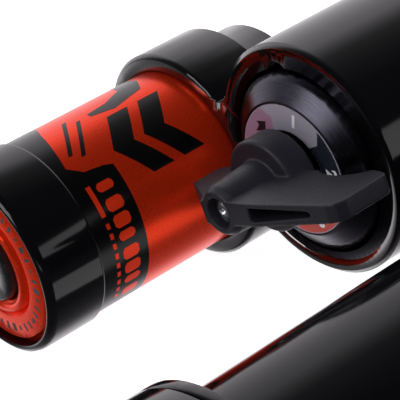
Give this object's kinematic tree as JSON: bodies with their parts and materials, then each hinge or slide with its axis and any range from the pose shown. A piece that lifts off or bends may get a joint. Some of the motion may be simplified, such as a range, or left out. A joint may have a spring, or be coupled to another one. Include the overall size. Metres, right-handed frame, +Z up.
{
  "type": "shock absorber",
  "caption": "Gas shock absorber with a piggyback reservoir, a valve housing with a winged three-position compression knob, chromed rod and spherical bearing eyes.",
  "frame": {"origin": "centre of the upper eye's bearing", "axes": "+X along the damper axis from the rod end to the upper eye, +Y along the eye bolts towards the reservoir side, +Z up"},
  "size_m": [0.4397, 0.1969, 0.0846],
  "materials": {
    "anodised_black": "hard black anodised, satin to gloss",
    "anodised_graphite": "dark graphite anodised, turned finish",
    "anodised_orange": "clear orange-red anodised over turned aluminium",
    "machined_aluminium": "as machined",
    "bronze": "turned bronze",
    "seal_blue": "polyurethane seal",
    "rubber_black": "nitrile rubber",
    "wear_band": "bronze-filled PTFE",
    "zinc_steel": "zinc plated steel",
    "bearing_steel": "ground bearing steel",
    "shim_steel": "blued spring steel",
    "bright_screw": "bright plated",
    "chrome_rod": "hard chrome, ground and polished",
    "cap_plastic": "gloss black moulded",
    "dial_print": "printed dial foil",
    "knob_polymer": "charcoal fine-cast texture",
    "bump_elastomer": "amber microcellular urethane",
    "spacer_black": "black anodised spacers"
  },
  "bodies": {
    "damper_body": {"bridge_head": "anodised_black", "body_tube": "anodised_black", "jam_ring": "anodised_black", "bearing_cap": "anodised_black", "seal_head": "anodised_graphite", "rod_bushing": "bronze", "rod_seal": "seal_blue", "rod_wiper": "rubber_black", "body_orings": "rubber_black", "fill_plug": "zinc_steel", "reservoir_tube": "anodised_orange", "reservoir_end_cap": "anodised_black", "reservoir_plug": "anodised_orange", "reservoir_orings": "rubber_black", "gas_valve_body": "bronze", "gas_valve_cap": "cap_plastic", "adjuster_bezel": "anodised_graphite", "dial_label": "dial_print", "adjuster_orings": "rubber_black", "detent_ball": "bright_screw", "detent_spring": "zinc_steel", "valve_cage": "machined_aluminium", "base_valve": "machined_aluminium", "base_valve_shims": "shim_steel", "base_valve_bolt": "zinc_steel", "base_valve_nut": "zinc_steel", "upper_race": "bearing_steel", "upper_snap_rings": "shim_steel"},
    "wear_band": {"piston_band": "wear_band"},
    "rod_assembly": {"rod": "chrome_rod", "piston": "machined_aluminium", "compression_shims": "shim_steel", "rebound_shims": "shim_steel", "piston_nut": "zinc_steel", "top_out_bumper": "rubber_black", "bump_washer": "zinc_steel", "bump_stop": "bump_elastomer", "rod_eyelet": "anodised_black", "lower_race": "bearing_steel", "lower_snap_rings": "shim_steel"},
    "float": {"floating_piston": "machined_aluminium", "floating_piston_ring": "rubber_black", "floating_piston_bands": "wear_band"},
    "adjuster": {"adjuster_knob": "knob_polymer", "knob_screw": "bright_screw", "adjuster_shaft": "zinc_steel", "metering_spool": "bronze"},
    "gas_pin": {"gas_valve_pin": "zinc_steel"},
    "upper_bearing_ball": {"upper_ball": "bearing_steel"},
    "upper_bolt_spacers": {"upper_spacers": "spacer_black"},
    "lower_bearing_ball": {"lower_ball": "bearing_steel"},
    "lower_bolt_spacers": {"lower_spacers": "spacer_black"}
  },
  "joints": [
    {"name": "rod_stroke", "type": "slide", "parent": "damper_body", "child": "wear_band", "axis": [1, 0, 0], "range_m": [0, 0.0889], "stiffness_N_per_m": 6300, "springref_m": -0.083},
    {"name": "rod_spin", "type": "hinge", "parent": "wear_band", "child": "rod_assembly", "pos_m": [-0.2, 0, 0], "axis": [1, 0, 0], "continuous": true},
    {"name": "floating_piston_slide", "type": "slide", "parent": "damper_body", "child": "float", "axis": [-1, 0, 0], "range_m": [0, 0.021]},
    {"name": "compression_dial", "type": "hinge", "parent": "damper_body", "child": "adjuster", "pos_m": [-0.1268, 0.07667, 0.01435], "axis": [1, 0, 0], "range_deg": [-68, 68]},
    {"name": "gas_valve_press", "type": "slide", "parent": "damper_body", "child": "gas_pin", "axis": [1, 0, 0], "range_m": [0, 0.0012], "stiffness_N_per_m": 800, "springref_m": -0.0005},
    {"name": "upper_misalignment", "type": "hinge", "parent": "damper_body", "child": "upper_bearing_ball", "pos_m": [0, 0, 0], "axis": [0, 0, 1], "range_deg": [-10, 10]},
    {"name": "upper_pivot", "type": "hinge", "parent": "upper_bearing_ball", "child": "upper_bolt_spacers", "pos_m": [0, 0, 0], "axis": [0, 1, 0], "continuous": true},
    {"name": "lower_misalignment", "type": "hinge", "parent": "rod_assembly", "child": "lower_bearing_ball", "pos_m": [-0.3937, 0, 0], "axis": [0, 0, 1], "range_deg": [-10, 10]},
    {"name": "lower_pivot", "type": "hinge", "parent": "lower_bearing_ball", "child": "lower_bolt_spacers", "pos_m": [-0.3937, 0, 0], "axis": [0, 1, 0], "continuous": true}
  ],
  "couplings": [
    {"joint": "floating_piston_slide", "follows": "rod_stroke", "ratio": 0.236}
  ]
}
